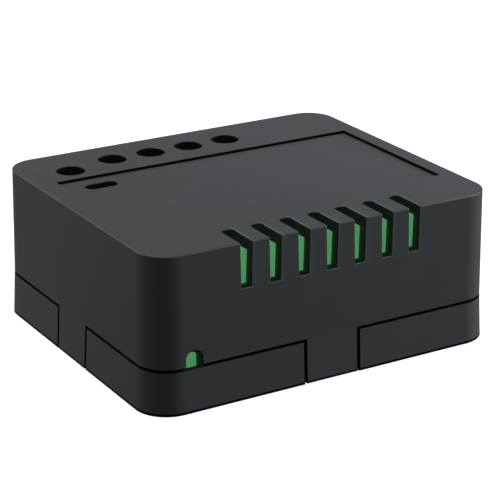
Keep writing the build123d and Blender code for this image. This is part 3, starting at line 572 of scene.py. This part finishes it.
LIB["case"] = case_plastic()
LIB["terminal"] = moulded("terminal_plastic", (0.020, 0.020, 0.022), 0.46, 5.0, 0.005)
LIB["zinc"] = metal("zinc_steel", (0.56, 0.56, 0.55), 0.32, "Z", tarnish=(0.78, 0.76, 0.70))
LIB["brass"] = metal("contact_brass", (0.66, 0.47, 0.20), 0.30, "Y", tarnish=(0.72, 0.62, 0.50))
LIB["shell"] = moulded("relay_shell", (0.014, 0.015, 0.018), 0.34, 5.0, 0.004, spec=0.5)
LIB["bobbin"] = moulded("bobbin_plastic", (0.62, 0.58, 0.50), 0.42, 4.0, 0.004, vary=0.05, edge=1.1)
LIB["iron"] = metal("soft_iron", (0.52, 0.52, 0.51), 0.30, "X", tarnish=(0.82, 0.80, 0.76))
LIB["bronze"] = metal("spring_bronze", (0.63, 0.38, 0.19), 0.26, "X", tarnish=(0.72, 0.60, 0.50))
LIB["silver"] = metal("silver_contact", (0.86, 0.85, 0.82), 0.22, "X", tarnish=(0.70, 0.66, 0.58))
LIB["switch"] = moulded("switch_plastic", (0.013, 0.013, 0.014), 0.42, 6.0, 0.004)
LIB["button"] = moulded("button_plastic", (0.020, 0.021, 0.024), 0.50, 6.0, 0.005)
LIB["can"] = metal("can_steel", (0.62, 0.62, 0.62), 0.28, "X", tarnish=(0.80, 0.79, 0.76))
LIB["gold"] = metal("gold_copper", (0.72, 0.42, 0.18), 0.28, "X", tarnish=(0.75, 0.62, 0.5))
LIB["tin"] = metal("tinned_wire", (0.66, 0.66, 0.64), 0.30, "Z", tarnish=(0.80, 0.79, 0.76))
LIB["rubber"] = moulded("rubber_seal", (0.012, 0.012, 0.012), 0.72, 7.0, 0.010)
LIB["solder"] = solder()

for n in ("top_cover", "base_tray"):
    use(n, LIB["case"])
for n in range(1, 6):
    use(f"terminal_housing_{n}", LIB["terminal"])
    use(f"terminal_busbar_{n}", LIB["brass"])
    use(f"terminal_cage_{n}", LIB["zinc"])
    use(f"terminal_screw_{n}", metal(f"screw_steel_{n}", (0.58, 0.58, 0.57), 0.28, "Z", tarnish=(0.78, 0.74, 0.66), radial=(POLE_X[n - 1], POLE_Y[n - 1])))
use("main_board", board("solder_mask_main", "Z"))
use("front_board", board("solder_mask_front", "Y"))
use("header_strip", LIB["switch"])
use("header_pins", LIB["tin"])
use("relay_base", LIB["shell"])
use("relay_case", LIB["shell"])
use("relay_yoke", LIB["iron"])
use("relay_core", LIB["iron"])
use("relay_bobbin", LIB["bobbin"])
use("relay_winding", copper_wire())
use("relay_coil_pins", LIB["tin"])
use("relay_armature", LIB["iron"])
use("relay_contact_spring", LIB["bronze"])
use("relay_moving_contact", LIB["silver"])
use("relay_open_contact", LIB["brass"])
use("relay_closed_contact", LIB["brass"])
use("switch_housing", LIB["switch"])
use("switch_plate", LIB["zinc"])
use("switch_dome", LIB["zinc"])
use("switch_plunger", LIB["switch"])
use("button_cap", LIB["button"])
rb = Mat("radio_mask")
rn = rb.noise(3.0, 3.0, 0.6)
rw = rb.f("MULTIPLY", rb.wave(1.3, "X", 0.5), rb.wave(1.3, "Z", 0.5))
rc = rb.mix(rb.lin(rn, 0.3, 0.7), (0.010, 0.016, 0.034), (0.015, 0.024, 0.050))
rc = rb.mix(rb.step(rb.z, 6.05, 6.1, 0.9, 0.0), rc, (0.70, 0.46, 0.20))
rb.set(colour=rc, rough=rb.lin(rn, 0.3, 0.7, 0.30, 0.42), normal=rb.bump(rw, 0.008, rb.soft(0.04)))
use("radio_board", rb.m)
use("radio_shield", LIB["can"])
use("radio_antenna", LIB["gold"])
use("capacitor_can", capacitor_sleeve())
use("capacitor_bung", LIB["rubber"])
use("capacitor_leads", LIB["tin"])
use("power_inductor", ferrite())
use("regulator_ic", chip("regulator_epoxy", 14.4 - 1.95 - 9, 14.4 + 9, -4.4 - 1.95, -4.4 + 1.95, dot=(12.7, -5.6, 0.25)))
use("optocoupler", chip("opto_white", -30, 0, -4.4 - 3.1, -4.4 + 3.1, body=(0.66, 0.65, 0.62), dot=(-16.6, -6.6, 0.35)))
use("driver_transistor", chip("driver_epoxy", -30, 0, -4.2 - 0.7, -4.2 + 0.7))
use("protection_diodes", chip("diode_epoxy", -30, 30, -4.6 - 1.305, -4.6 + 1.305))
use("resettable_fuse", fuse_coat())
use("fuse_wires", LIB["tin"])
use("chip_resistors", moulded("ceramic_dark", (0.012, 0.012, 0.014), 0.3, 7.0, 0.003))
use("chip_capacitors", moulded("ceramic_tan", (0.30, 0.19, 0.10), 0.42, 7.0, 0.003))
use("status_led", led())

# ------------------------------------------------------------------ added pieces inside the case
def finish_piece(name, bm, mat, replaces=None, body="case", flat=False):
    bmesh.ops.recalc_face_normals(bm, faces=bm.faces)
    me = bpy.data.meshes.new(name)
    bm.to_mesh(me)
    bm.free()
    for poly in me.polygons:
        poly.use_smooth = not flat
    me.materials.append(mat)
    o = bpy.data.objects.new(name, me)
    bpy.context.scene.collection.objects.link(o)
    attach(o, body)
    if replaces:
        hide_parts(replaces)
    return o


def lathe(bm, cx, cy, profile, segments=20, sx=1.0, sy=1.0):
    """Turns a list of (radius, z) about the vertical through cx, cy and caps both ends."""
    rings = []
    for r, z in profile:
        rings.append([
            bm.verts.new(((cx + r * sx * math.cos(2 * math.pi * k / segments)) * MM, (cy + r * sy * math.sin(2 * math.pi * k / segments)) * MM, z * MM))
            for k in range(segments)
        ])
    for a, b in zip(rings, rings[1:]):
        for k in range(segments):
            bm.faces.new((a[k], a[(k + 1) % segments], b[(k + 1) % segments], b[k]))
    bm.faces.new(rings[0])
    bm.faces.new(list(reversed(rings[-1])))


def solder_joints():
    """A pad and a concave solder cone round every lead under the main board."""
    spots = [(x, y - 2.4, 1.15, 1.0) for x, y in zip(POLE_X, POLE_Y)]
    spots += [(-9.0, 4.0, 1.05, 1.35), (-1.45, 0.5, 0.85, 0.85), (-1.45, 7.5, 0.85, 0.85), (7.75, 1.6, 0.80, 1.45), (7.75, 6.4, 0.80, 1.45)]
    spots += [(5.0 + 2.0 * k, -13.7, 0.80, 0.80) for k in range(6)]
    spots += [(12.6 - 1.25, 11.4, 0.80, 0.80), (12.6 + 1.25, 11.4, 0.80, 0.80), (-14.6, -9.2, 0.85, 0.85), (-9.6, -9.2, 0.85, 0.85)]
    bm = bmesh.new()
    for x, y, rx, ry in spots:
        full = random.uniform(0.92, 1.08)
        low = PIN_LO + 0.06 + random.uniform(0.0, 0.10)
        prof = [(1.0, PCB_LO + 0.01), (1.0, PCB_LO - 0.03), (0.93, PCB_LO - 0.05)]
        for k in range(1, 7):
            t = k / 6.0
            prof.append(((0.90 - 0.52 * (1 - (1 - t) ** 2.2)) * full, PCB_LO - 0.05 - (PCB_LO - 0.05 - low) * t ** 1.15))
        prof.append((0.22, low - 0.03))
        lathe(bm, x, y, prof, 20, rx, ry)
    return finish_piece("solder_joints", bm, LIB["solder"])


def coil_winding():
    """Outer layer of the coil: one helical row of turns between the bobbin's flanges."""
    cx, cy, z0, z1 = -4.6, 4.0, 6.72, 10.38
    turns, seg, sub = 28, 72, 6
    pitch = (z1 - z0) / turns
    bm = bmesh.new()
    rows = []
    count = turns * sub
    for i in range(count + 1):
        z = z0 + (z1 - z0) * i / count
        row = []
        for k in range(seg):
            ph = ((z - z0) / pitch - k / seg) % 1.0
            r = 3.46 + 0.07 * math.sqrt(max(0.0, 1 - (2 * ph - 1) ** 2))
            a = 2 * math.pi * k / seg
            row.append(bm.verts.new(((cx + r * math.cos(a)) * MM, (cy + r * math.sin(a)) * MM, z * MM)))
        rows.append(row)
    inner = []
    for z in (z1, z0):
        inner.append([bm.verts.new(((cx + 2.12 * math.cos(2 * math.pi * k / seg)) * MM, (cy + 2.12 * math.sin(2 * math.pi * k / seg)) * MM, z * MM)) for k in range(seg)])
    loop = rows + inner + [rows[0]]
    for a, b in zip(loop, loop[1:]):
        for k in range(seg):
            bm.faces.new((a[k], a[(k + 1) % seg], b[(k + 1) % seg], b[k]))
    return finish_piece("coil_winding", bm, LIB["copper"], "relay_winding")


def chip_ends():
    """Tinned caps over both ends of every chip resistor and capacitor."""
    parts = [(x, y, 0.40, 0.45) for x, y in ((-6.5, -8.0), (-6.5, -9.8), (-3.2, -8.0), (-3.2, -9.8), (9.9, -8.6), (12.4, -8.6), (-18.6, -8.2), (-9.0, -6.9))]
    parts += [(x, y, 0.45, 0.80) for x, y in ((0.0, -8.0), (0.0, -9.8), (2.6, -8.0), (2.6, -9.8), (9.9, -10.4), (12.4, -10.4), (10.2, 0.0))]
    bm = bmesh.new()
    for x, y, hw, h in parts:
        for s in (-1, 1):
            a, b = sorted((x + s * 0.50, x + s * 0.825))
            made = bmesh.ops.create_cube(bm, size=1.0)["verts"]
            bmesh.ops.scale(bm, verts=made, vec=((b - a) * MM, (2 * hw + 0.04) * MM, (h + 0.02) * MM))
            bmesh.ops.translate(bm, verts=made, vec=((a + b) / 2 * MM, y * MM, (PCB_HI + (h + 0.02) / 2) * MM))
            rim = list({e for v in made for e in v.link_edges})
            bmesh.ops.bevel(bm, geom=rim, offset=0.05 * MM, segments=2, affect="EDGES")
    return finish_piece("chip_end_caps", bm, LIB["tin"])


LIB["copper"] = copper_wire()
solder_joints()
coil_winding()
chip_ends()

# ------------------------------------------------------------------ stage: floor, lights, camera
def floor():
    bm = bmesh.new()
    bmesh.ops.create_grid(bm, x_segments=1, y_segments=1, size=3.0)
    me = bpy.data.meshes.new("floor")
    bm.to_mesh(me)
    bm.free()
    o = bpy.data.objects.new("floor", me)
    o.location = (0, 0, -0.00002)
    bpy.context.scene.collection.objects.link(o)
    m = bpy.data.materials.new("pale_floor")
    m.use_nodes = True
    b = m.node_tree.nodes["Principled BSDF"]
    n = m.node_tree.nodes.new("ShaderNodeTexNoise")
    n.inputs["Scale"].default_value = 30.0
    r = m.node_tree.nodes.new("ShaderNodeMapRange")
    r.inputs["To Min"].default_value = 0.49
    r.inputs["To Max"].default_value = 0.51
    m.node_tree.links.new(n.outputs["Fac"], r.inputs["Value"])
    c = m.node_tree.nodes.new("ShaderNodeCombineXYZ")
    for i in range(3):
        m.node_tree.links.new(r.outputs[0], c.inputs[i])
    m.node_tree.links.new(c.outputs[0], b.inputs["Base Color"])
    b.inputs["Roughness"].default_value = 0.9
    b.inputs["Specular IOR Level"].default_value = 0.1
    b.inputs["Emission Color"].default_value = (1, 1, 1, 1)
    b.inputs["Emission Strength"].default_value = FLOOR_GLOW
    # seen only from above
    geo = m.node_tree.nodes.new("ShaderNodeNewGeometry")
    gone = m.node_tree.nodes.new("ShaderNodeBsdfTransparent")
    blend = m.node_tree.nodes.new("ShaderNodeMixShader")
    m.node_tree.links.new(geo.outputs["Backfacing"], blend.inputs[0])
    m.node_tree.links.new(b.outputs[0], blend.inputs[1])
    m.node_tree.links.new(gone.outputs[0], blend.inputs[2])
    m.node_tree.links.new(blend.outputs[0], m.node_tree.nodes["Material Output"].inputs[0])
    me.materials.append(m)
    o.visible_diffuse = False
    o.visible_glossy = False
    return o


FLOOR_GLOW = 0.80
LIGHTS = [
    # name, position, size, energy, colour
    ("top", (-0.10, 0.16, 0.62), 0.50, 1.85, (1.0, 1.0, 1.0)),
    ("back", (0.10, 0.50, 0.45), 0.40, 0.38, (1.0, 1.0, 1.0)),
    ("left", (-0.36, 0.52, 0.22), 0.34, 1.60, (1.0, 1.0, 1.0)),
    ("right", (0.56, -0.20, 0.18), 0.34, 3.80, (1.0, 1.0, 1.0)),
]


def lights():
    for name, pos, size, energy, colour in LIGHTS:
        l = bpy.data.lights.new(name, "AREA")
        l.shape = "DISK"
        l.size = size
        l.energy = energy
        l.color = colour
        o = bpy.data.objects.new(name, l)
        o.location = pos
        o.rotation_mode = "QUATERNION"
        o.rotation_quaternion = (Vector((0, 0, 0.008)) - Vector(pos)).to_track_quat("-Z", "Y")
        bpy.context.scene.collection.objects.link(o)
    w = bpy.data.worlds.new("studio")
    w.use_nodes = True
    w.node_tree.nodes["Background"].inputs[0].default_value = (1.0, 1.0, 1.0, 1.0)
    w.node_tree.nodes["Background"].inputs[1].default_value = WORLD
    bpy.context.scene.world = w


WORLD = 0.157


def camera():
    az, el, roll = math.radians(-31.059), math.radians(20.832), math.radians(0.197)
    tx, ty, dist = 0.725, 8.136, 219.78
    back = Vector((math.sin(az) * math.cos(el), -math.cos(az) * math.cos(el), math.sin(el)))
    right = Vector((math.cos(az), math.sin(az), 0.0))
    up = back.cross(right)
    r = right * math.cos(roll) + up * math.sin(roll)
    u = up * math.cos(roll) - right * math.sin(roll)
    pos = (back * dist + r * tx + u * ty) * MM
    cam = bpy.data.cameras.new("camera")
    cam.sensor_width = 36.0
    cam.lens = 136.936
    cam.clip_start = 0.01
    cam.clip_end = 10.0
    o = bpy.data.objects.new("camera", cam)
    o.matrix_world = Matrix(((r.x, u.x, back.x, pos.x), (r.y, u.y, back.y, pos.y), (r.z, u.z, back.z, pos.z), (0, 0, 0, 1)))
    bpy.context.scene.collection.objects.link(o)
    bpy.context.scene.camera = o


floor()
lights()
camera()
bpy.context.scene.view_settings.view_transform = "Standard"
bpy.context.scene.view_settings.look = "None"
bpy.context.scene.cycles.use_denoising = True
